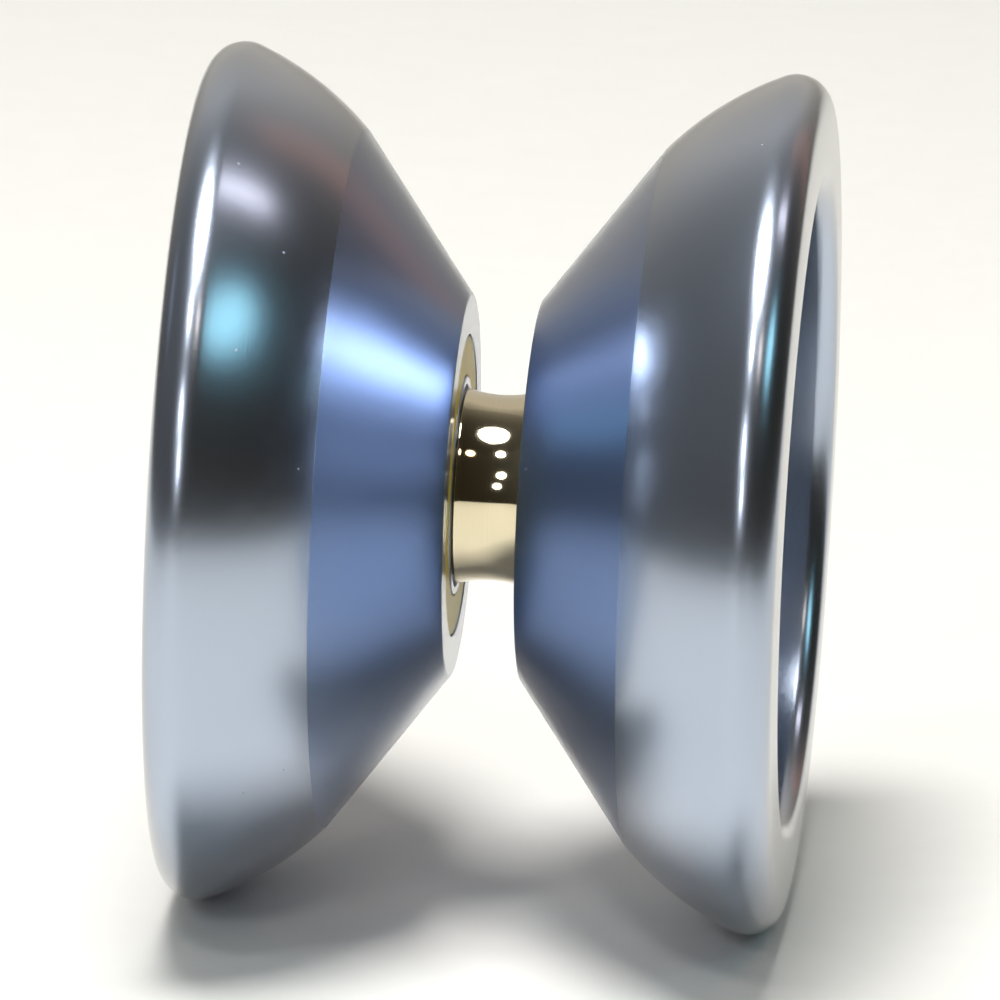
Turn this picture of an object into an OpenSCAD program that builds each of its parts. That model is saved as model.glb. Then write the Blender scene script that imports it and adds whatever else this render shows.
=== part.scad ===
// Yo-yo with two turned metal halves, a ball bearing between them and a silicone pad ring in each gap face.
// The axle lies along X, the bearing's centre is the origin and Z points up.

/* [Body halves] */
// Outer diameter over the rims
body_d = 56; // [52:0.5:62]
// Overall width over both rim faces
body_w = 40.6; // [38:0.2:46]
// Clear width of the string gap between the two gap faces
string_gap = 4.66; // [4.2:0.02:5.4]
// Angle between the cone and the axle, in degrees
cone_angle = 53.9; // [48:0.1:58]
// Diameter of the faint edge where the cone ends and the rim curve starts
cone_d = 45.6; // [42:0.2:48]
// Radius of the curve that runs from the cone to the rim
rim_curve_r = 21; // [16:0.1:26]
// Rounding of the rim's outer edge
rim_round = 2.2; // [1:0.1:2.4]
// Lean of the rim face back from its flat land, in degrees
rim_lean = 2.5; // [2:0.5:9]
// Radial width from the outer diameter to the mouth of the cup
rim_band = 7.2; // [6:0.1:9]
// Radial width of the flat land beside the lip
rim_land = 1.4; // [0.6:0.1:2.2]
// Rounding of the lip at the mouth of the cup
lip_round = 1.3; // [0.6:0.1:2]
// Rounding between the gap face and the cone
gap_round = 0.4; // [0.1:0.1:1]

/* [Cup and hub] */
// Thickness of the wall between the cone and the cup
cup_wall = 2; // [1.4:0.1:3]
// Thickness of the floor between the pad groove and the cup
floor_t = 2; // [1.4:0.1:3]
// Rounding between the cup's side and its cone
cup_round = 3; // [1:0.1:4]
// Rounding between the cup's cone and its floor
floor_round = 2; // [0.5:0.1:3]
// Diameter of the hub in the middle of the cup
hub_d = 10; // [8:0.5:14]
// Rounding of the hub's edge
hub_round = 1.2; // [0.4:0.1:1.5]
// Rounding at the hub's foot
hub_foot = 1.2; // [0.4:0.1:1.5]
// Thickness of the hub over the tip of the axle hole
hub_cap = 1.5; // [1:0.1:3]

/* [Response pads] */
// Radial width of the pad's groove
pad_band = 2.75; // [2:0.05:3.5]
// Thickness of a pad
pad_t = 1.3; // [0.8:0.05:1.8]
// Depth of the pad's surface below the gap face
pad_sink = 0.06; // [0.02:0.02:0.3]
// Free space beside the pad in its groove
pad_clear = 0.08; // [0.02:0.02:0.2]
// Rounding of the pad's outer edges
pad_round = 0.15; // [0.05:0.05:0.3]
// Wall between the pad's groove and the bearing's recess
pad_wall = 0.5; // [0.3:0.05:1]
// Width of the flat gap face outside the pad
face_band = 2.57; // [1.6:0.01:4]

/* [Bearing] */
// Bore of the bearing
bearing_bore = 6.35; // [6:0.05:7]
// Outer diameter of the bearing
bearing_od = 12.7; // [12.4:0.05:14]
// Width of the bearing
bearing_w = 4.7625; // [4.4:0.0125:5.4]
// Depth of the concave string track round the outer race
track_dip = 0.3; // [0.1:0.05:0.45]
// Flat edge left on each side of the string track
track_edge = 0.2; // [0.1:0.05:0.6]
// Diameter of a ball
ball_d = 1.5875; // [1.3:0.0125:1.7]
// Number of balls
ball_count = 8; // [6:1:10]
// Height of the race shoulders beside the ball's groove
shoulder_h = 0.3; // [0.15:0.05:0.4]
// Edge rounding of both races
race_round = 0.15; // [0.05:0.05:0.2]

/* [Bearing closures] */
// Thickness of a shield
shield_t = 0.2; // [0.1:0.05:0.3]
// Depth of the shield's seat in the outer race
shield_seat = 0.35; // [0.2:0.05:0.4]
// Axial width of a snap ring
snap_w = 0.3; // [0.2:0.05:0.35]
// Radial width of a snap ring
snap_band = 0.4; // [0.25:0.05:0.5]
// Depth of the snap ring's groove
snap_groove = 0.15; // [0.1:0.05:0.2]
// Land outside the snap ring's groove
snap_land = 0.2; // [0.1:0.05:0.3]
// Width of the opening in a snap ring
snap_opening = 1.6; // [0.8:0.1:4]

/* [Ball cage] */
// Radial thickness of the cage
cage_t = 0.6; // [0.4:0.05:0.7]
// Thickness of the cage's ring behind the balls
cage_back = 0.4; // [0.25:0.05:0.5]
// Thickness of the two prongs that hold each ball
prong_t = 0.4; // [0.25:0.05:0.5]
// Reach of the prongs past the ball's centre
prong_reach = 0.45; // [0.2:0.05:0.6]

/* [Axle] */
// Diameter of the axle screw
axle_d = 4; // [3:0.1:4.4]
// Length of the axle screw
axle_len = 14; // [12:0.5:18]
// Chamfer at the ends of the axle screw
axle_chamfer = 0.4; // [0.2:0.1:0.6]
// Width across the flats of the hexagon socket
hex_af = 2; // [1.5:0.1:2.5]
// Depth of the hexagon socket
hex_depth = 2.4; // [1.5:0.1:4]
// Free depth of each axle hole past the end of the screw
hole_run = 0.5; // [0.2:0.1:1.5]
// Point angle of the drill that made the axle hole, in degrees
drill_angle = 118; // [90:1:140]

/* [Clearances] */
// Gap between the axle screw and its hole, on the radius
axle_clear = 0.02; // [0.01:0.01:0.1]
// Gap between the bearing seat and the bearing's bore, on the radius
seat_clear = 0.01; // [0.01:0.01:0.05]
// Gap between the ends of the two bearing seats
seat_gap = 0.4; // [0.2:0.1:1.2]
// Chamfer at the end of a bearing seat
seat_chamfer = 0.25; // [0.1:0.05:0.5]
// Gap between the outer race and its recess, on the radius
recess_clear = 0.25; // [0.15:0.05:0.5]
// Gap between the side of the outer race and the floor of its recess
side_clear = 0.3; // [0.15:0.05:0.6]
// Gap between a ball and its raceways
race_clear = 0.015; // [0.01:0.005:0.03]
// Gap between a ball and its pocket in the cage
pocket_clear = 0.06; // [0.03:0.01:0.1]
// Gap between a shield and the inner race
shield_clear = 0.12; // [0.06:0.02:0.2]
// Gap round the pieces that are held in the outer race
closure_clear = 0.01; // [0.01:0.01:0.03]

/* [Hidden] */
$fn = 96;
sides = [-1, 1];
// A raceway is a little wider than the ball that runs in it.
raceway_ratio = 0.53;
// Cutting shapes run this far past the surface that they open.
overshoot = 1;
hexagon_sides = 6;
// A rounding laps over its chord by this share of the chord's length.
chord_lap = 0.05;

// Bearing, from the pitch circle outwards and inwards
ball_r = ball_d / 2;
pitch_r = (bearing_bore + bearing_od) / 4;
half_w = bearing_w / 2;
race_od_r = bearing_od / 2;
race_bore_r = bearing_bore / 2;
raceway_r = raceway_ratio * ball_d;
outer_raceway = pitch_r + ball_r + race_clear;
inner_raceway = pitch_r - ball_r - race_clear;
outer_land_r = outer_raceway - shoulder_h;
inner_land_r = inner_raceway + shoulder_h;
track_half_w = half_w - track_edge;
track_r = (pow(track_half_w, 2) + pow(track_dip, 2)) / (2 * track_dip);
shield_seat_r = outer_land_r + shield_seat;
snap_groove_r = shield_seat_r + snap_groove;
snap_x = half_w - snap_land - snap_w;
shield_x = snap_x - shield_t;
ball_step = 360 / ball_count;
pocket_r = ball_r + pocket_clear;
cage_x = -(pocket_r + cage_back);
prong_gap = 2 * PI * pitch_r / ball_count - 2 * pocket_r - 2 * prong_t;

// Axle and its hole
axle_r = axle_d / 2;
hex_corner_d = hex_af / cos(180 / hexagon_sides);
hole_r = axle_r + axle_clear;
hole_end_x = axle_len / 2 + hole_run;
hole_tip_x = hole_end_x + hole_r / tan(drill_angle / 2);

// One half, from the axle outwards
seat_r = race_bore_r - seat_clear;
seat_end_x = seat_gap / 2;
shoulder_r = inner_land_r - race_round;
recess_x = half_w + side_clear;
recess_r = race_od_r + recess_clear;
gap_x = string_gap / 2;
pad_ir = recess_r + pad_wall;
pad_or = pad_ir + pad_band;
pad_x = gap_x + pad_sink;
groove_x = pad_x + pad_t;
face_r = pad_or + face_band;
body_r = body_d / 2;
rim_x = body_w / 2;
cup_r = body_r - rim_band;
land_r = cup_r + lip_round + rim_land;
floor_x = groove_x + floor_t;
hub_r = hub_d / 2;
hub_x = hole_tip_x + hub_cap;
// The cup's cone is parallel to the outer cone.
cup_cone_x = gap_x + cup_wall / sin(cone_angle);
cup_corner_x = cup_cone_x + (cup_r - face_r) / tan(cone_angle);
floor_r = face_r + (floor_x - cup_cone_x) * tan(cone_angle);

// Points of a turned outline are [distance from the axle, place along the axle].
cone_end_r = cone_d / 2;
cone_end = [cone_end_r, gap_x + (cone_end_r - face_r) / tan(cone_angle)];
// The rim's rounding touches the outer diameter and the leaning rim face.
lean_out = [sin(rim_lean), cos(rim_lean)];
rim_centre_r = body_r - rim_round;
rim_centre_x = rim_x + ((land_r - rim_centre_r) * lean_out[0] - rim_round) / lean_out[1];
rim_centre = [rim_centre_r, rim_centre_x];
rim_end = rim_centre + rim_round * lean_out;
// The rim curve starts at the end of the cone and touches, from outside, the rim's rounding.
rim_span = norm(rim_centre - cone_end);
rim_way = (rim_centre - cone_end) / rim_span;
curve_along = (pow(rim_curve_r, 2) - pow(rim_curve_r - rim_round, 2) + pow(rim_span, 2)) / (2 * rim_span);
curve_aside = sqrt(pow(rim_curve_r, 2) - pow(curve_along, 2));
curve_centre = cone_end + curve_along * rim_way + curve_aside * left_of(rim_way);
rim_start = rim_centre + rim_round * unit(rim_centre - curve_centre);

function unit(v) = v / norm(v);
function left_of(v) = [-v[1], v[0]];
function turn_angle(u, v) = atan2(u[0] * v[1] - u[1] * v[0], u * v);

// One corner b of a path a-b-c, rounded by r: where the arc starts and ends, its centre, radius and turn.
function rounded_corner(a, b, c, r) =
    let (
        come = unit(b - a),
        go = unit(c - b),
        turn = turn_angle(come, go),
        reach = r * tan(abs(turn) / 2),
        start = b - reach * come
    )
    [start, b + reach * go, start + r * sign(turn) * left_of(come), r, turn];

// The segment between a chord and its arc, with a flat triangle that laps over the chord.
module bulge(a, b, centre, radius) {
    middle = (a + b) / 2;
    away = unit(middle - centre);
    lap = chord_lap * norm(b - a);
    intersection() {
        translate(centre)
            circle(radius);
        polygon([a, middle - lap * away, b, b + radius * away, a + radius * away]);
    }
}

// A closed outline, listed anticlockwise as rows of [x, y, rounding], with true arcs at its rounded corners.
module rounded_outline(rows) {
    count = len(rows);
    points = [for (row = rows) [row[0], row[1]]];
    corners = [
        for (i = [0:count - 1])
            rounded_corner(points[(i + count - 1) % count], points[i], points[(i + 1) % count], rows[i][2])
    ];
    rounded = [for (corner = corners) if (corner[3] > 0) corner];
    difference() {
        union() {
            polygon([for (corner = corners) each (corner[3] > 0 ? [corner[0], corner[1]] : [corner[0]])]);
            for (corner = rounded)
                if (corner[4] > 0)
                    bulge(corner[0], corner[1], corner[2], corner[3]);
        }
        for (corner = rounded)
            if (corner[4] < 0)
                bulge(corner[0], corner[1], corner[2], corner[3]);
    }
}

// Turns an outline round the axle.
module turned() {
    rotate([0, 90, 0])
        rotate_extrude()
            children();
}

// Puts a piece that is drawn on the right on the chosen side.
module on_side(side) {
    mirror([side < 0 ? 1 : 0, 0, 0])
        children();
}

// Repeats a piece at every ball, or midway between the balls with shift 0.5.
module at_balls(shift = 0) {
    for (number = [1:ball_count])
        rotate([(number - 1 + shift) * ball_step, 0, 0])
            children();
}

// Half of the body: bearing seat, recess, pad groove, cone, rim, cup and hub, turned from one bar.
module body_half(side) {
    color("lightslategray")
        on_side(side)
            turned() {
                rounded_outline([
                    [hole_r, seat_end_x, 0],
                    [seat_r - seat_chamfer, seat_end_x, 0],
                    [seat_r, seat_end_x + seat_chamfer, 0],
                    [seat_r, half_w, 0],
                    [shoulder_r, half_w, 0],
                    [shoulder_r, recess_x, 0],
                    [recess_r, recess_x, 0],
                    [recess_r, gap_x, 0],
                    [pad_ir, gap_x, 0],
                    [pad_ir, groove_x, 0],
                    [pad_or, groove_x, 0],
                    [pad_or, gap_x, 0],
                    [face_r, gap_x, gap_round],
                    [cone_end[0], cone_end[1], 0],
                    [rim_start[0], rim_start[1], 0],
                    [rim_end[0], rim_end[1], 0],
                    [land_r, rim_x, 0],
                    [cup_r, rim_x, lip_round],
                    [cup_r, cup_corner_x, cup_round],
                    [floor_r, floor_x, floor_round],
                    [hub_r, floor_x, hub_foot],
                    [hub_r, hub_x, hub_round],
                    [0, hub_x, 0],
                    [0, hole_tip_x, 0],
                    [hole_r, hole_end_x, 0]
                ]);
                bulge(cone_end, rim_start, curve_centre, rim_curve_r);
                bulge(rim_start, rim_end, rim_centre, rim_round);
            }
}

// Headless screw that draws the two halves together through the bearing.
module axle_screw() {
    color("dimgray")
        difference() {
            turned()
                polygon([
                    [0, -axle_len / 2],
                    [axle_r - axle_chamfer, -axle_len / 2],
                    [axle_r, axle_chamfer - axle_len / 2],
                    [axle_r, axle_len / 2 - axle_chamfer],
                    [axle_r - axle_chamfer, axle_len / 2],
                    [0, axle_len / 2]
                ]);
            translate([axle_len / 2 - hex_depth, 0, 0])
                rotate([0, 90, 0])
                    cylinder(d = hex_corner_d, h = hex_depth + overshoot, $fn = hexagon_sides);
        }
}

// Silicone ring glued into the groove of a gap face.
module response_pad(side) {
    color("darkkhaki")
        on_side(side)
            turned()
                rounded_outline([
                    [pad_ir + pad_clear, pad_x, pad_round],
                    [pad_or - pad_clear, pad_x, pad_round],
                    [pad_or - pad_clear, groove_x, 0],
                    [pad_ir + pad_clear, groove_x, 0]
                ]);
}

// Inner race, clamped between the shoulders of the two halves.
module bearing_inner_race() {
    color("silver")
        turned()
            difference() {
                rounded_outline([
                    [race_bore_r, -half_w, race_round],
                    [inner_land_r, -half_w, race_round],
                    [inner_land_r, half_w, race_round],
                    [race_bore_r, half_w, race_round]
                ]);
                translate([inner_raceway + raceway_r, 0])
                    circle(raceway_r);
            }
}

// Outer race with a concave string track outside, and a raceway and the seats of the closures inside.
module bearing_outer_race() {
    color("goldenrod")
        turned()
            difference() {
                rounded_outline([
                    [outer_land_r, -half_w, 0],
                    [race_od_r, -half_w, race_round],
                    [race_od_r, half_w, race_round],
                    [outer_land_r, half_w, 0]
                ]);
                translate([race_od_r - track_dip + track_r, 0])
                    circle(track_r);
                translate([outer_raceway - raceway_r, 0])
                    circle(raceway_r);
                for (side = sides)
                    mirror([0, side < 0 ? 1 : 0]) {
                        translate([outer_land_r - overshoot, shield_x])
                            square([shield_seat + overshoot, half_w - shield_x + overshoot]);
                        translate([outer_land_r - overshoot, snap_x])
                            square([snap_groove_r - outer_land_r + overshoot, snap_w + closure_clear]);
                    }
            }
}

// Crown cage: a ring behind the balls, scalloped between them, with two prongs that snap round each ball.
module bearing_cage() {
    color("burlywood")
        difference() {
            turned()
                translate([pitch_r - cage_t / 2, cage_x])
                    square([cage_t, prong_reach - cage_x]);
            at_balls()
                translate([0, 0, pitch_r])
                    sphere(pocket_r);
            at_balls(0.5)
                translate([prong_reach, 0, pitch_r - cage_t])
                    cylinder(d = prong_gap, h = 2 * cage_t);
        }
}

module bearing_ball(number) {
    color("gainsboro")
        rotate([(number - 1) * ball_step, 0, 0])
            translate([0, 0, pitch_r])
                sphere(ball_r);
}

// Thin plate that covers the balls, resting on a step in the outer race.
module shield(side) {
    color("lightgray")
        on_side(side)
            turned()
                translate([inner_land_r + shield_clear, shield_x])
                    square([shield_seat_r - closure_clear - inner_land_r - shield_clear, shield_t]);
}

// Open wire ring that springs into the outer race and holds a shield in.
module snap_ring(side) {
    color("darkgray")
        on_side(side)
            difference() {
                turned()
                    translate([snap_groove_r - closure_clear - snap_band, snap_x])
                        square([snap_band, snap_w]);
                translate([snap_x - overshoot, -snap_opening / 2, 0])
                    cube([snap_w + 2 * overshoot, snap_opening, race_od_r]);
            }
}

body_half(-1);  // left_half
body_half(1);  // right_half
axle_screw();
response_pad(-1);  // left_response_pad
response_pad(1);  // right_response_pad
bearing_inner_race();
bearing_outer_race();
bearing_cage();
for (number = [1:ball_count])
    bearing_ball(number);
shield(-1);  // left_shield
shield(1);  // right_shield
snap_ring(-1);  // left_snap_ring
snap_ring(1);  // right_snap_ring
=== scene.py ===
import math

import bpy
import numpy as np
from mathutils import Matrix, Vector


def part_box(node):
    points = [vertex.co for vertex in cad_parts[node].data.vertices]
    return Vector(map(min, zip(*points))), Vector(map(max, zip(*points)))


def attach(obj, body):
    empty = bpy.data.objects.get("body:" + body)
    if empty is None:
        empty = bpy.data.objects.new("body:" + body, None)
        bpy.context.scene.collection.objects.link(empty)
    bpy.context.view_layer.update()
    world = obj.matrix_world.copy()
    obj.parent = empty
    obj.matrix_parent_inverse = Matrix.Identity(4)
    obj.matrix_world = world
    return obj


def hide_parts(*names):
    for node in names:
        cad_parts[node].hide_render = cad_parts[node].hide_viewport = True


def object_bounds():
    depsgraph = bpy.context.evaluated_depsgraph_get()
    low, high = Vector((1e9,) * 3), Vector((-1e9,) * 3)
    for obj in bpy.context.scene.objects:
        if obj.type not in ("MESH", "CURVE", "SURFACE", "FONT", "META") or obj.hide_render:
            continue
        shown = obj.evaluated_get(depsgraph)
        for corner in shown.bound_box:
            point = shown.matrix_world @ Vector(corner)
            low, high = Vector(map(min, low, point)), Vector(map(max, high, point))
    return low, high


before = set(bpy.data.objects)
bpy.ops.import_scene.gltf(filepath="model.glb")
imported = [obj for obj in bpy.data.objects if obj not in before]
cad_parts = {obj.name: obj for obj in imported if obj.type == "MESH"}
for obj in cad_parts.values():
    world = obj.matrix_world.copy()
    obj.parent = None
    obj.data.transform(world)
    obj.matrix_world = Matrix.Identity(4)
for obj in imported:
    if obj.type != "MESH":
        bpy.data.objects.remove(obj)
cad_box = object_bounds()


# Axle screw
# A headless M4 steel screw with a rolled thread, blackened, with a hexagon socket in its right end.
# It runs through the bearing and into both halves, which are screwed on to it.
MM = 0.001
AXLE_STEPS = 64
PITCH_STEPS = 10
SHARP_EDGE = math.radians(30)
axle_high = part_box("axle_screw")[1]
axle_r = axle_high.z / MM
axle_end = axle_high.x / MM
axle_chamfer = 0.4
thread_pitch = 0.7
thread_depth = 0.43
thread_flat = 0.12
hex_af = 2.0
hex_depth = 2.4
hex_tip = 0.5


def wrapped(name, x, r, ring=False, along=None, centre=(0.0, 0.0)):
    """A skin round a line along X, from a grid of rows by turns, in millimetres: a point is x, r cos turn,
    r sin turn. Rows run anticlockwise in the plane of r and x, so that faces point outwards. A row with no
    radius is one pole, and ring joins the last row to the first. along is a row's place on the outline."""
    x, r = np.broadcast_arrays(x, r)
    rows, turns = r.shape
    turn = np.linspace(0, 2 * np.pi, turns, endpoint=False)
    points = np.stack([x, r * np.cos(turn) + centre[0], r * np.sin(turn) + centre[1]], axis=-1)
    number = np.arange(rows * turns).reshape(rows, turns)
    pole = np.flatnonzero(r.max(axis=1) == 0)
    number[pole] = number[pole, :1]
    if ring:
        number = np.vstack([number, number[:1]])
    beside = np.roll(number, -1, axis=1)
    quads = np.stack([number[:-1], beside[:-1], beside[1:], number[1:]], axis=-1).reshape(-1, 4)
    from_pole = quads[:, 0] == quads[:, 1]
    to_pole = quads[:, 2] == quads[:, 3]
    used, quads = np.unique(quads, return_inverse=True)
    quads = quads.reshape(-1, 4)
    faces = quads[~(from_pole | to_pole)].tolist()
    faces += quads[from_pole][:, [0, 2, 3]].tolist()
    faces += quads[to_pole][:, [0, 1, 2]].tolist()
    mesh = bpy.data.meshes.new(name)
    mesh.from_pydata((points.reshape(-1, 3)[used] * MM).tolist(), [], faces)
    mesh.shade_smooth()
    mesh.set_sharp_from_angle(angle=SHARP_EDGE)
    if along is not None:
        distance = mesh.attributes.new("along_outline", "FLOAT", "POINT")
        distance.data.foreach_set("value", np.repeat(along, turns)[used].astype(np.float32))
    piece = bpy.data.objects.new(name, mesh)
    bpy.context.scene.collection.objects.link(piece)
    return piece


def linear(colour):
    """An sRGB hex colour as linear red, green, blue and alpha."""
    srgb = np.array([int(colour[i:i + 2], 16) for i in (1, 3, 5)]) / 255
    rgb = np.where(srgb <= 0.04045, srgb / 12.92, ((srgb + 0.055) / 1.055) ** 2.4)
    return (*rgb.tolist(), 1.0)


def feed(tree, node, links):
    """Joins outputs to a node's inputs, which are given by name or number."""
    for key, output in links.items():
        tree.links.new(output, node.inputs[key])


def add_node(tree, kind, settings=(), links=()):
    """One node: settings are its own properties or values of its inputs, and links feed its inputs."""
    node = tree.nodes.new(kind)
    for key, value in dict(settings).items():
        if isinstance(key, str) and key not in node.inputs:
            setattr(node, key, value)
        else:
            node.inputs[key].default_value = value
    feed(tree, node, dict(links))
    return node


def new_material(name, **constants):
    """A node material with constant values on its principled shader: gives material, tree and shader."""
    material = bpy.data.materials.new(name)
    material.use_nodes = True
    shader = material.node_tree.nodes["Principled BSDF"]
    for socket, value in constants.items():
        shader.inputs[socket.replace("_", " ")].default_value = value
    return material, material.node_tree, shader


def finish_piece(piece, material, body, node):
    """Gives a piece its material, the body that carries it and the node that it stands for."""
    piece.data.materials.append(material)
    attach(piece, body)
    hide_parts(node)


# Blackened steel: a dark conversion coat with an oily sheen, a little greyer where the coat is thin.
black_steel, tree, shader = new_material("black_oxide_steel", Metallic=1.0)
coat_grain_mm = 0.25
place = add_node(tree, "ShaderNodeTexCoord").outputs["Object"]
grain = add_node(
    tree,
    "ShaderNodeTexNoise",
    {"Scale": 1 / (coat_grain_mm * MM), "Detail": 3.0},
    {"Vector": place},
)
tone = add_node(
    tree,
    "ShaderNodeMixRGB",
    {"Color1": linear("#1B1B1D"), "Color2": linear("#4A4A4C")},
    {"Fac": grain.outputs["Fac"]},
)
dull = add_node(
    tree,
    "ShaderNodeMapRange",
    {"To Min": 0.35, "To Max": 0.55},
    {"Value": grain.outputs["Fac"]},
)
feed(tree, shader, {"Base Color": tone.outputs["Color"], "Roughness": dull.outputs["Result"]})

# The thread is a trapezoid wave that moves on by one pitch in each turn, cut off by the chamfers.
# The socket's radius is half its width across flats, divided by the cosine of the angle to the nearest flat.
turn = np.linspace(0, 2 * np.pi, AXLE_STEPS, endpoint=False)
thread_rows = round(2 * axle_end / thread_pitch * PITCH_STEPS) + 1
thread_x = np.linspace(-axle_end, axle_end, thread_rows)[:, None]
wave = np.abs((thread_x / thread_pitch - turn / (2 * np.pi)) % 1 * 2 - 1)
rise = np.clip((wave - thread_flat) / (1 - 2 * thread_flat), 0, 1)
thread_r = axle_r - thread_depth * (1 - rise)
thread_r = np.minimum(thread_r, axle_r - axle_chamfer + axle_end - np.abs(thread_x))
hex_r = hex_af / 2 / np.cos(turn % (np.pi / 3) - np.pi / 6)
axis_r = np.zeros(AXLE_STEPS)
hex_x = axle_end - hex_depth
axle_x = np.vstack([[[-axle_end]], thread_x, [[axle_end]], [[hex_x]], [[hex_x - hex_tip]]])
axle = wrapped("axle_screw_threaded", axle_x, np.vstack([axis_r, thread_r, hex_r, hex_r, axis_r]))
finish_piece(axle, black_steel, "body", "axle_screw")


# Inner race
# The hardened steel ring that fits over both bearing seats and is clamped between the two halves.
# It is ground all over, with a polished groove round its outside for the balls.
RING_STEPS = 256
ARC_DEGREES = 6.0
ARC_LONGEST = 0.5
SAME_POINT = 1e-6
race_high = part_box("bearing_inner_race")[1]
ball_low, ball_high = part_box("bearing_ball_1")
half_w = race_high.x / MM
inner_land_r = race_high.z / MM
ball_r = (ball_high.x - ball_low.x) / 2 / MM
pitch_r = (ball_high.z + ball_low.z) / 2 / MM
race_bore_r = 3.175
race_clear = 0.015
race_round = 0.15
raceway_ratio = 1.06
raceway_r = raceway_ratio * ball_r


def arc(centre, radius, start, end):
    """Points on an arc in the plane of r and x, between two angles, close enough to look round."""
    step = min(ARC_DEGREES, math.degrees(ARC_LONGEST / radius))
    angle = np.radians(np.linspace(start, end, math.ceil(abs(end - start) / step) + 1))
    return np.stack([centre[0] + radius * np.cos(angle), centre[1] + radius * np.sin(angle)], axis=1)


def rounded(*corners):
    """An outline through corners of (r, x, rounding), each rounded by an arc that touches both its sides."""
    points = np.array([corner[:2] for corner in corners], float)
    stretches = []
    neighbours = zip(corners, np.roll(points, 1, 0), points, np.roll(points, -1, 0))
    for (*_, radius), before, at, after in neighbours:
        if radius == 0:
            stretches.append(at[None])
            continue
        come = (at - before) / np.linalg.norm(at - before)
        go = (after - at) / np.linalg.norm(after - at)
        bend = math.atan2(come[0] * go[1] - come[1] * go[0], come @ go)
        left = np.array([-come[1], come[0]]) * math.copysign(1, bend)
        start = at - radius * math.tan(abs(bend) / 2) * come
        centre = start + radius * left
        first = math.degrees(math.atan2(-left[1], -left[0]))
        stretches.append(arc(centre, radius, first, first + math.degrees(bend)))
    return np.vstack(stretches)


def turned(name, outline, ring=True, longest=0.8):
    """A solid of revolution: stretches of the outline are cut to at most longest, then wrapped round X."""
    path = np.vstack([outline, outline[:1]]) if ring else outline
    length = np.linalg.norm(np.diff(path, axis=0), axis=1)
    path = path[np.r_[True, length > SAME_POINT]]
    parts = np.ceil(length[length > SAME_POINT] / longest).astype(int)
    which = np.repeat(np.arange(len(parts)), parts)
    share = (np.arange(parts.sum()) - np.repeat(np.cumsum(parts) - parts, parts)) / parts[which]
    rows = path[which] + share[:, None] * (path[which + 1] - path[which])
    if not ring:
        rows = np.vstack([rows, path[-1:]])
    along = np.r_[0, np.cumsum(np.linalg.norm(np.diff(rows, axis=0), axis=1))]
    return wrapped(name, rows[:, 1:], np.repeat(rows[:, :1], RING_STEPS, axis=1), ring, along)


# Ground bearing steel: bright and grey, with fine rings left by the grinding wheel.
bearing_steel, tree, shader = new_material("ground_bearing_steel", Metallic=1.0)
ring_mm = 0.12  # coarser than a real wheel's marks, which would not show
distance = add_node(tree, "ShaderNodeAttribute", {"attribute_name": "along_outline"}).outputs["Fac"]
rings = add_node(
    tree,
    "ShaderNodeTexNoise",
    {"noise_dimensions": "1D", "Scale": 1 / ring_mm},
    {"W": distance},
)
tone = add_node(
    tree,
    "ShaderNodeMixRGB",
    {"Color1": linear("#A9ABAE"), "Color2": linear("#CFD1D3")},
    {"Fac": rings.outputs["Fac"]},
)
dull = add_node(
    tree,
    "ShaderNodeMapRange",
    {"To Min": 0.12, "To Max": 0.24},
    {"Value": rings.outputs["Fac"]},
)
feed(tree, shader, {"Base Color": tone.outputs["Color"], "Roughness": dull.outputs["Result"]})

inner_groove_r = pitch_r - ball_r - race_clear + raceway_r
inner_angle = math.degrees(math.acos((inner_groove_r - inner_land_r) / raceway_r))
inner_outline = np.vstack([
    arc((inner_groove_r, 0), raceway_r, 180 + inner_angle, 180 - inner_angle),
    rounded(
        (inner_land_r, half_w, race_round),
        (race_bore_r, half_w, race_round),
        (race_bore_r, -half_w, race_round),
        (inner_land_r, -half_w, race_round),
    ),
])
inner_race = turned("bearing_inner_race_ground", inner_outline, longest=0.4)
finish_piece(inner_race, bearing_steel, "body", "bearing_inner_race")


# Balls
# Eight hardened steel balls, lapped to a mirror finish, that roll between the two races.
# Each one turns by itself in its pocket of the cage.
BALL_STEPS = 48

# Lapped steel: a mirror with only a trace of haze.
ball_steel, tree, shader = new_material("lapped_ball_steel", Metallic=1.0)
haze_mm = 0.3
place = add_node(tree, "ShaderNodeTexCoord").outputs["Object"]
haze = add_node(tree, "ShaderNodeTexNoise", {"Scale": 1 / (haze_mm * MM)}, {"Vector": place})
tone = add_node(
    tree,
    "ShaderNodeMixRGB",
    {"Color1": linear("#C4C6C8"), "Color2": linear("#DCDEE0")},
    {"Fac": haze.outputs["Fac"]},
)
dull = add_node(
    tree,
    "ShaderNodeMapRange",
    {"To Min": 0.03, "To Max": 0.1},
    {"Value": haze.outputs["Fac"]},
)
feed(tree, shader, {"Base Color": tone.outputs["Color"], "Roughness": dull.outputs["Result"]})

# Each ball is a grid of latitude by turns, with a pole at each end along X.
latitude = np.linspace(0, np.pi, BALL_STEPS // 2 + 1)[:, None]
ball_rows = ball_r * np.sin(latitude) * np.ones(BALL_STEPS)
ball_rows[[0, -1]] = 0
ball_nodes = sorted(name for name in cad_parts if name.startswith("bearing_ball_"))
for name in ball_nodes:
    low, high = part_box(name)
    middle = (low + high) / 2 / MM
    ball = wrapped(name + "_lapped", -ball_r * np.cos(latitude), ball_rows, centre=(middle.y, middle.z))
    finish_piece(ball, ball_steel, name.replace("bearing_", ""), name)


# Cage
# A moulded nylon crown that keeps the balls apart: a ring with two prongs that snap round each ball.
# It floats between the races and is carried round by the balls.

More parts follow.
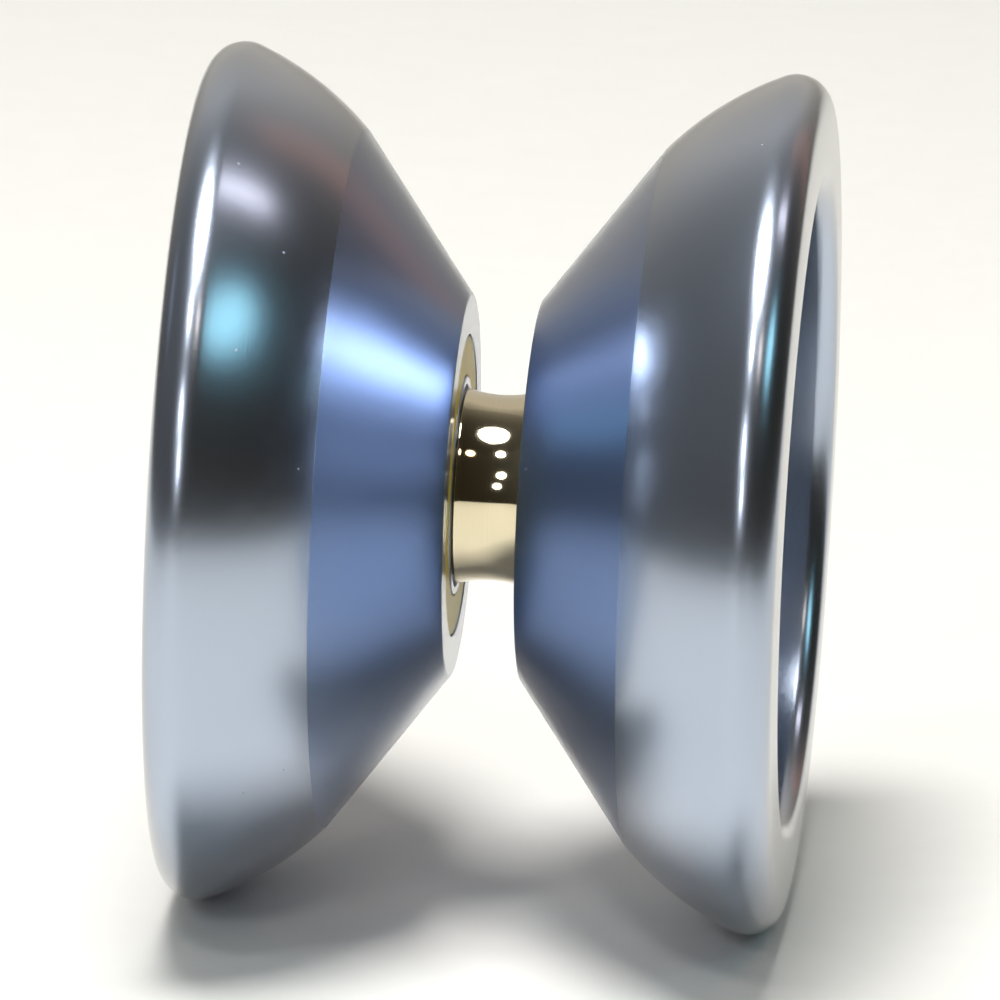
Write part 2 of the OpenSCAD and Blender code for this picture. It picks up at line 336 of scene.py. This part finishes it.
# Unfilled nylon: creamy and slightly waxy, with a soft mottle from the mould.
nylon, tree, shader = new_material(
    "moulded_nylon",
    Subsurface_Weight=0.15,
    Subsurface_Scale=0.3 * MM,
    IOR=1.53,
)
mottle_mm = 0.4
place = add_node(tree, "ShaderNodeTexCoord").outputs["Object"]
mottle = add_node(tree, "ShaderNodeTexNoise", {"Scale": 1 / (mottle_mm * MM)}, {"Vector": place})
tone = add_node(
    tree,
    "ShaderNodeMixRGB",
    {"Color1": linear("#D8CDB4"), "Color2": linear("#E9E1CD")},
    {"Fac": mottle.outputs["Fac"]},
)
dull = add_node(
    tree,
    "ShaderNodeMapRange",
    {"To Min": 0.4, "To Max": 0.55},
    {"Value": mottle.outputs["Fac"]},
)
feed(tree, shader, {"Base Color": tone.outputs["Color"], "Roughness": dull.outputs["Result"]})
cage_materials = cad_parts["bearing_cage"].data.materials
cage_materials.clear()
cage_materials.append(nylon)


# Outer race
# The gold-plated steel ring that the string runs on. Its outside is a shallow hollow that keeps the string
# in the middle, and its inside has the ball groove and a step and a groove at each end for the closures.
race_od_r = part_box("bearing_outer_race")[1].z / MM
track_dip = 0.3
track_edge = 0.2
shoulder_h = 0.3
shield_seat = 0.35
shield_t = 0.2
snap_groove = 0.15
snap_w = 0.3
snap_land = 0.2
closure_clear = 0.01

# Polished gold plate: a warm mirror, with the faintest rings from the buffing wheel.
gold_plate, tree, shader = new_material("polished_gold_plate", Metallic=1.0)
buff_mm = 0.15  # coarser than real buffing marks, which would not show
distance = add_node(tree, "ShaderNodeAttribute", {"attribute_name": "along_outline"}).outputs["Fac"]
buff = add_node(
    tree,
    "ShaderNodeTexNoise",
    {"noise_dimensions": "1D", "Scale": 1 / buff_mm},
    {"W": distance},
)
tone = add_node(
    tree,
    "ShaderNodeMixRGB",
    {"Color1": linear("#D9CDAE"), "Color2": linear("#DED3B6")},
    {"Fac": buff.outputs["Fac"]},
)
dull = add_node(
    tree,
    "ShaderNodeMapRange",
    {"To Min": 0.05, "To Max": 0.07},
    {"Value": buff.outputs["Fac"]},
)
feed(tree, shader, {"Base Color": tone.outputs["Color"], "Roughness": dull.outputs["Result"]})

# The string track is an arc through both edges and the dip. The ball groove is a little wider than a ball.
outer_raceway = pitch_r + ball_r + race_clear
outer_land_r = outer_raceway - shoulder_h
shield_seat_r = outer_land_r + shield_seat
snap_groove_r = shield_seat_r + snap_groove
snap_x = half_w - snap_land - snap_w
snap_end_x = snap_x + snap_w + closure_clear
shield_x = snap_x - shield_t
track_half = half_w - track_edge
track_r = (track_half ** 2 + track_dip ** 2) / (2 * track_dip)
track_angle = math.degrees(math.asin(track_half / track_r))
track_centre = (race_od_r - track_dip + track_r, 0)
outer_groove_centre = (outer_raceway - raceway_r, 0)
outer_angle = math.degrees(math.acos((outer_land_r - outer_groove_centre[0]) / raceway_r))
race_end = rounded(
    (race_od_r, track_half, 0),
    (race_od_r, half_w, race_round),
    (shield_seat_r, half_w, 0),
    (shield_seat_r, snap_end_x, 0),
    (snap_groove_r, snap_end_x, 0),
    (snap_groove_r, snap_x, 0),
    (shield_seat_r, snap_x, 0),
    (shield_seat_r, shield_x, 0),
    (outer_land_r, shield_x, 0),
)
outer_outline = np.vstack([
    arc(track_centre, track_r, 180 + track_angle, 180 - track_angle),
    race_end,
    arc(outer_groove_centre, raceway_r, outer_angle, -outer_angle),
    race_end[::-1] * (1, -1),
])
outer_race = turned("bearing_outer_race_gold", outer_outline, longest=0.4)
finish_piece(outer_race, gold_plate, "outer_race", "bearing_outer_race")


# Shields and snap rings
# Two thin plates of rolled steel that keep dust off the balls. Each lies on a step in the outer race,
# and an open ring of spring wire that snaps into the race's groove holds it there.

# Bright spring steel: drawn wire and rolled sheet, with a fine grain and a satin shine.
spring_steel, tree, shader = new_material("bright_spring_steel", Metallic=1.0)
sheet_grain_mm = 0.2
place = add_node(tree, "ShaderNodeTexCoord").outputs["Object"]
grain = add_node(tree, "ShaderNodeTexNoise", {"Scale": 1 / (sheet_grain_mm * MM)}, {"Vector": place})
tone = add_node(
    tree,
    "ShaderNodeMixRGB",
    {"Color1": linear("#9B9DA0"), "Color2": linear("#C6C8CA")},
    {"Fac": grain.outputs["Fac"]},
)
dull = add_node(
    tree,
    "ShaderNodeMapRange",
    {"To Min": 0.2, "To Max": 0.35},
    {"Value": grain.outputs["Fac"]},
)
feed(tree, shader, {"Base Color": tone.outputs["Color"], "Roughness": dull.outputs["Result"]})
for name in ("left_shield", "right_shield", "left_snap_ring", "right_snap_ring"):
    closure_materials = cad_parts[name].data.materials
    closure_materials.clear()
    closure_materials.append(spring_steel)


# Response pads
# A ring of cast silicone rubber glued into the groove of each gap face, a hair below the metal.
# It grips the string when the yo-yo is called back to the hand.
pad_low, pad_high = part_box("right_response_pad")
pad_or = pad_high.z / MM
pad_x = pad_low.x / MM
groove_x = pad_high.x / MM
pad_band = 2.75
pad_clear = 0.08
pad_round = 0.15

# Cast silicone: olive, smooth and a little see-through at its edge, with small bubbles in its skin, and a
# dusty bloom that makes it paler and yellower where it is seen edge on.
silicone, tree, shader = new_material(
    "cast_silicone",
    Subsurface_Weight=0.25,
    Subsurface_Scale=0.6 * MM,
    IOR=1.4,
    Specular_Tint=linear("#F0DC8C"),
    Sheen_Weight=0.35,
    Sheen_Roughness=0.4,
    Sheen_Tint=linear("#F0CC38"),
)
cloud_mm = 1.6
pimple_mm = 0.18
pimple_height_mm = 0.02
place = add_node(tree, "ShaderNodeTexCoord").outputs["Object"]
cloud = add_node(
    tree,
    "ShaderNodeTexNoise",
    {"Scale": 1 / (cloud_mm * MM), "Detail": 4.0},
    {"Vector": place},
)
pimple = add_node(tree, "ShaderNodeTexNoise", {"Scale": 1 / (pimple_mm * MM)}, {"Vector": place})
tone = add_node(
    tree,
    "ShaderNodeMixRGB",
    {"Color1": linear("#AA9C34"), "Color2": linear("#BAAE46")},
    {"Fac": cloud.outputs["Fac"]},
)
relief = add_node(
    tree,
    "ShaderNodeBump",
    {"Strength": 0.6, "Distance": pimple_height_mm * MM},
    {"Height": pimple.outputs["Fac"]},
)
dull = add_node(
    tree,
    "ShaderNodeMapRange",
    {"To Min": 0.28, "To Max": 0.4},
    {"Value": pimple.outputs["Fac"]},
)
feed(tree, shader, {"Base Color": tone.outputs["Color"], "Roughness": dull.outputs["Result"]})
feed(tree, shader, {"Normal": relief.outputs["Normal"]})

pad_ir = pad_or + 2 * pad_clear - pad_band
pad_outline = rounded(
    (pad_ir, groove_x, 0),
    (pad_ir, pad_x, pad_round),
    (pad_or, pad_x, pad_round),
    (pad_or, groove_x, 0),
)
for side, direction in (("right", 1), ("left", -1)):
    pad = turned(side + "_response_pad_cast", (pad_outline * (1, direction))[::direction], longest=0.3)
    finish_piece(pad, silicone, "body", side + "_response_pad")


# Body halves
# Two like halves turned from aluminium bar, polished to a satin and anodised slate blue. A straight cone
# runs from the gap face to a faint edge, where a long curve takes over and leads on to the rim.
# The outer side is a deep cup with a hub in it.
half_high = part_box("right_half")[1]
body_r = half_high.z / MM
rim_x = half_high.x / MM
cone_angle = 53.9
cone_end_r = 22.8
cone_edge_soft = 0.1
rim_curve_r = 21.0
rim_round = 2.2
rim_lean = 2.5
rim_band = 7.2
rim_land = 1.4
lip_round = 1.3
gap_round = 0.4
edge_break = 0.1
cup_wall = 2.0
floor_t = 2.0
cup_round = 3.0
floor_round = 2.0
hub_r = 5.0
hub_round = 1.2
hub_foot = 1.2
hub_cap = 1.5
pad_sink = 0.06
face_band = 2.57
axle_clear = 0.02
hole_run = 0.5
drill_angle = 118
seat_clear = 0.01
seat_end_x = 0.2
seat_chamfer = 0.25
recess_clear = 0.25
side_clear = 0.3
slope = math.radians(cone_angle)
gap_x = pad_x - pad_sink
groove_or = pad_or + pad_clear
face_r = groove_or + face_band
cone_end_x = gap_x + (cone_end_r - face_r) / math.tan(slope)

# Anodised aluminium: a clear hard oxide dyed blue over polished metal, so reflections come back tinted, and
# pale where the surface is seen edge on. The dye is deeper and the finish duller on the cone than on the rim
# and in the cup. Fine rings from the lathe stay under the oxide, and dust lies on it.
anodised, tree, shader = new_material(
    "anodised_aluminium",
    Anisotropic=0.2,
    Anisotropic_Rotation=0.25,
    Coat_Weight=1.0,
    Coat_Roughness=0.2,
    Coat_IOR=1.55,
    Specular_Tint=linear("#DCD6CC"),
)
mark_mm = 0.2  # a finer feed would not show from here
mark_depth_mm = 0.0015
smudge_mm = 9.0
smudge_dulls = 0.02
speck_mm = 3.0
speck_share = 0.03
cone_dull = 0.31
rim_dull = 0.25
distance = add_node(tree, "ShaderNodeAttribute", {"attribute_name": "along_outline"}).outputs["Fac"]
place = add_node(tree, "ShaderNodeTexCoord").outputs["Object"]
marks = add_node(
    tree,
    "ShaderNodeTexNoise",
    {"noise_dimensions": "1D", "Scale": 1 / mark_mm, "Detail": 2.0},
    {"W": distance},
)
smudge = add_node(
    tree,
    "ShaderNodeTexNoise",
    {"Scale": 1 / (smudge_mm * MM), "Detail": 4.0},
    {"Vector": place},
)
speck = add_node(tree, "ShaderNodeTexVoronoi", {"Scale": 1 / (speck_mm * MM)}, {"Vector": place})
is_clean = add_node(
    tree,
    "ShaderNodeMath",
    {"operation": "GREATER_THAN", 1: speck_share},
    {0: speck.outputs["Distance"]},
)
rings = add_node(
    tree,
    "ShaderNodeBump",
    {"Strength": 1.0, "Distance": mark_depth_mm * MM},
    {"Height": marks.outputs["Fac"]},
)
parts = add_node(tree, "ShaderNodeSeparateXYZ", links={"Vector": place})
sideways = add_node(tree, "ShaderNodeMath", {"operation": "ABSOLUTE"}, {0: parts.outputs["X"]})
is_rim = add_node(
    tree,
    "ShaderNodeMath",
    {"operation": "GREATER_THAN", 1: cone_end_x * MM},
    {0: sideways.outputs["Value"]},
)
tone = add_node(
    tree,
    "ShaderNodeMixRGB",
    {"Color1": linear("#9EB0D0"), "Color2": linear("#ABB6C8")},
    {"Fac": is_rim.outputs["Value"]},
)
finish = add_node(
    tree,
    "ShaderNodeMapRange",
    {"To Min": cone_dull, "To Max": rim_dull},
    {"Value": is_rim.outputs["Value"]},
)
dull = add_node(
    tree,
    "ShaderNodeMath",
    {"operation": "MULTIPLY_ADD", 1: smudge_dulls},
    {0: smudge.outputs["Fac"], 2: finish.outputs["Result"]},
)
round_axle = add_node(tree, "ShaderNodeTangent", {"direction_type": "RADIAL", "axis": "X"})
feed(tree, shader, {"Base Color": tone.outputs["Color"], "Roughness": dull.outputs["Value"]})
feed(tree, shader, {"Metallic": is_clean.outputs["Value"], "Normal": rings.outputs["Normal"]})
feed(tree, shader, {"Tangent": round_axle.outputs["Tangent"]})

hole_r = axle_r + axle_clear
hole_end_x = axle_end + hole_run
hole_tip_x = hole_end_x + hole_r / math.tan(math.radians(drill_angle / 2))
hub_x = hole_tip_x + hub_cap
seat_r = race_bore_r - seat_clear
shoulder_r = inner_land_r - race_round
recess_x = half_w + side_clear
recess_r = race_od_r + recess_clear
groove_ir = pad_ir - pad_clear
cup_r = body_r - rim_band
land_r = cup_r + lip_round + rim_land
floor_x = groove_x + floor_t
lean = math.radians(rim_lean)
# The cup's cone runs parallel to the outer cone.
cup_cone_x = gap_x + cup_wall / math.sin(slope)
cup_corner_x = cup_cone_x + (cup_r - face_r) / math.tan(slope)
floor_r = face_r + (floor_x - cup_cone_x) * math.tan(slope)
# The rim's rounding touches the outer diameter and the leaning face.
rim_centre_r = body_r - rim_round
rim_centre_x = rim_x + ((land_r - rim_centre_r) * math.sin(lean) - rim_round) / math.cos(lean)
# The rim curve starts at the cone's end, where a faint edge shows, and touches the rounding.
cone_end = np.array([cone_end_r, cone_end_x])
before_edge = cone_end - cone_edge_soft * np.array([math.sin(slope), math.cos(slope)])
rim_way = np.array([rim_centre_r, rim_centre_x]) - cone_end
rim_span = np.linalg.norm(rim_way)
curve_along = (rim_curve_r ** 2 - (rim_curve_r - rim_round) ** 2 + rim_span ** 2) / (2 * rim_span)
curve_aside = math.sqrt(rim_curve_r ** 2 - curve_along ** 2)
curve_aim = curve_along * rim_way + curve_aside * np.array([-rim_way[1], rim_way[0]])
curve_centre = cone_end + curve_aim / rim_span
curve_turn = math.degrees(math.atan2(*(cone_end - curve_centre)[::-1]))
after_edge = curve_turn + math.degrees(cone_edge_soft / rim_curve_r)
rim_turn = math.degrees(math.atan2(rim_centre_x - curve_centre[1], rim_centre_r - curve_centre[0]))
half_outline = np.vstack([
    rounded(
        (0, hole_tip_x, 0),
        (hole_r, hole_end_x, 0),
        (hole_r, seat_end_x, 0),
        (seat_r - seat_chamfer, seat_end_x, 0),
        (seat_r, seat_end_x + seat_chamfer, 0),
        (seat_r, half_w, 0),
        (shoulder_r, half_w, 0),
        (shoulder_r, recess_x, 0),
        (recess_r, recess_x, 0),
        (recess_r, gap_x, edge_break),
        (groove_ir, gap_x, edge_break),
        (groove_ir, groove_x, 0),
        (groove_or, groove_x, 0),
        (groove_or, gap_x, edge_break),
        (face_r, gap_x, gap_round),
        (*before_edge, 0),
        (*cone_end, 0),
    ),
    arc(curve_centre, rim_curve_r, after_edge, rim_turn),
    arc((rim_centre_r, rim_centre_x), rim_round, rim_turn, 90 - rim_lean),
    rounded(
        (land_r, rim_x, 0),
        (cup_r, rim_x, lip_round),
        (cup_r, cup_corner_x, cup_round),
        (floor_r, floor_x, floor_round),
        (hub_r, floor_x, hub_foot),
        (hub_r, hub_x, hub_round),
        (0, hub_x, 0),
    ),
])
for side, direction in (("right", 1), ("left", -1)):
    half = turned(side + "_half_anodised", (half_outline * (1, direction))[::direction], ring=False)
    finish_piece(half, anodised, "body", side + "_half")


# Floor
# A plain pale table top that the yo-yo stands on, with nothing else on it.
# It is a sheet of matt laminate, and ends two hands' widths beyond the yo-yo at each side.
floor_side = 200 * MM
floor_front = 450 * MM
floor_back = 600 * MM
floor_z = cad_box[0].z

# Matt white laminate: near white and a little creamy, with a very faint mottle.
laminate, tree, shader = new_material("white_laminate", Roughness=0.6)
mottle_mm = 4.0
place = add_node(tree, "ShaderNodeTexCoord").outputs["Object"]
mottle = add_node(tree, "ShaderNodeTexNoise", {"Scale": 1 / (mottle_mm * MM)}, {"Vector": place})
tone = add_node(
    tree,
    "ShaderNodeMixRGB",
    {"Color1": linear("#F2F0EA"), "Color2": linear("#F6F4EE")},
    {"Fac": mottle.outputs["Fac"]},
)
feed(tree, shader, {"Base Color": tone.outputs["Color"]})
floor_corners = [
    (-floor_side, -floor_front, floor_z),
    (floor_side, -floor_front, floor_z),
    (floor_side, floor_back, floor_z),
    (-floor_side, floor_back, floor_z),
]
floor_mesh = bpy.data.meshes.new("floor")
floor_mesh.from_pydata(floor_corners, [], [(0, 1, 2, 3)])
floor_mesh.materials.append(laminate)
floor = bpy.data.objects.new("floor", floor_mesh)
bpy.context.scene.collection.objects.link(floor)


# Light
# A dim studio: a round soft box overhead lights the table, and a few small lamps and panels stand round it.
# A pale wall stands behind up to a dimmer ceiling, a weak glow comes from the left, and the rest stays dark.
room_glow = (0.024, 0.019, 0.012)
backdrop = "#FEFEFC"
world = bpy.data.worlds.new("studio")
bpy.context.scene.world = world
world.use_nodes = True
tree = world.node_tree
direction = add_node(tree, "ShaderNodeTexCoord").outputs["Generated"]


def toward(azimuth, elevation):
    """The direction at these angles in degrees: azimuth 0 is the camera's side, -Y, and 90 is +X."""
    turn, rise = math.radians(azimuth), math.radians(elevation)
    return Vector((math.sin(turn) * math.cos(rise), -math.cos(turn) * math.cos(rise), math.sin(rise)))


# The wall meets the ceiling between these two elevations, and the ceiling has this share of the wall's glow.
ceiling_from = toward(0, 55).z
ceiling_to = toward(0, 57.5).z
ceiling_share = 0.7
height = add_node(tree, "ShaderNodeSeparateXYZ", links={"Vector": direction}).outputs["Z"]
ceiling = add_node(
    tree,
    "ShaderNodeMapRange",
    {"From Min": ceiling_from, "From Max": ceiling_to, "To Min": 1.0, "To Max": ceiling_share},
    {"Value": height},
)
room = add_node(tree, "ShaderNodeVectorMath", {"operation": "ADD", 0: room_glow})
# A glow falls off from its direction as e to the power of its fade times (cosine of the angle, less one).
# Its middle would rise past its radiance by its excess, and is held level there.
for azimuth, elevation, radiance, fade, excess, colour in (
    (-172, 24, 0.58, 6.5, 1.6, "#FFFAF2"),
    (-85, 28, 0.115, 3.0, 1.0, "#F4FAFF"),
):
    nearness = add_node(
        tree,
        "ShaderNodeVectorMath",
        {"operation": "DOT_PRODUCT", 1: toward(azimuth, elevation)},
        {0: direction},
    )
    depth = add_node(
        tree,
        "ShaderNodeMath",
        {"operation": "MULTIPLY_ADD", 1: fade, 2: math.log(excess) - fade},
        {0: nearness.outputs["Value"]},
    )
    glow = add_node(tree, "ShaderNodeMath", {"operation": "EXPONENT"}, {0: depth.outputs["Value"]})
    level = add_node(tree, "ShaderNodeMath", {"operation": "MINIMUM", 1: 1.0}, {0: glow.outputs["Value"]})
    glow = add_node(
        tree,
        "ShaderNodeMath",
        {"operation": "MULTIPLY"},
        {0: level.outputs["Value"], 1: ceiling.outputs["Result"]},
    )
    room = add_node(
        tree,
        "ShaderNodeVectorMath",
        {"operation": "MULTIPLY_ADD", 1: Vector(linear(colour)[:3]) * radiance},
        {0: glow.outputs["Value"], 2: room.outputs["Vector"]},
    )
seen = add_node(tree, "ShaderNodeLightPath").outputs["Is Camera Ray"]
sky = add_node(
    tree,
    "ShaderNodeMixRGB",
    {"Color2": linear(backdrop)},
    {"Fac": seen, "Color1": room.outputs["Vector"]},
)
feed(tree, tree.nodes["Background"], {"Color": sky.outputs["Color"]})


def soft_box(name, azimuth, elevation, spread, radiance, colour="#FFFFFF", shape="ELLIPSE", away=2.5):
    """A flat light that faces the yo-yo and spans the angles spread, across and up, in degrees.
    Power is pi times radiance times the light's area."""
    lamp = bpy.data.lights.new(name, "AREA")
    lamp.shape = shape
    lamp.size, lamp.size_y = (2 * away * math.tan(math.radians(angle / 2)) for angle in spread)
    fill = math.pi / 4 if shape == "ELLIPSE" else 1.0
    lamp.energy = math.pi * radiance * fill * lamp.size * lamp.size_y
    lamp.color = linear(colour)[:3]
    light = bpy.data.objects.new(name, lamp)
    light.location = toward(azimuth, elevation) * away
    light.rotation_euler = light.location.to_track_quat("Z", "Y").to_euler()
    light.visible_camera = False
    bpy.context.scene.collection.objects.link(light)


# Each lamp has its direction, the angles that it spans and its radiance, and some a colour and a shape.
soft_box("overhead", -35, 82, (23, 23), 27.0, away=0.6)
soft_box("wood_panel", 146, 22, (10, 40), 0.25, "#FFA080", "RECTANGLE")
soft_box("front_high_left", -22, 56, (8, 8), 20.0)
soft_box("front_middle_left", -17, 30, (9, 8), 15.0)
soft_box("front_low_left", -12, 17, (8, 7), 13.0)
soft_box("front_high_right", 24, 54, (8, 7), 7.0, "#FFEEDD")
soft_box("right_window", 66, 42, (22, 14), 2.7, "#B7F6FF")
soft_box("right_strip", 117, 55, (5, 19), 4.6, "#FFF6FA", "RECTANGLE")
soft_box("left_low", -103, 20, (16, 10), 0.3, "#E0EAFF")


# Camera
# It stands a little to the right of the middle and above the table, turned slightly on its own axis.
# Its lens is long, as for a close-up from a step away.
scene = bpy.context.scene
scene.view_settings.view_transform = "Standard"
camera_distance = 1.2
camera_turn = 4.7
camera_rise = 16.0
camera_roll = 3.53
pixels_per_mm = 15.38
image_pixels = 1000
place_in_image = (497.2, 487.5)
view = bpy.data.cameras.new("camera")
view.sensor_width = 36.0
view.lens = view.sensor_width * pixels_per_mm * camera_distance / MM / image_pixels
view.shift_x = 0.5 - place_in_image[0] / image_pixels
view.shift_y = place_in_image[1] / image_pixels - 0.5
camera = bpy.data.objects.new("camera", view)
camera.matrix_world = (
    Matrix.Rotation(math.radians(-camera_rise), 4, "X")
    @ Matrix.Rotation(math.radians(camera_turn), 4, "Z")
    @ Matrix.Translation((0, -camera_distance, 0))
    @ Matrix.Rotation(math.radians(90), 4, "X")
    @ Matrix.Rotation(math.radians(camera_roll), 4, "Z")
)
scene.collection.objects.link(camera)
scene.camera = camera
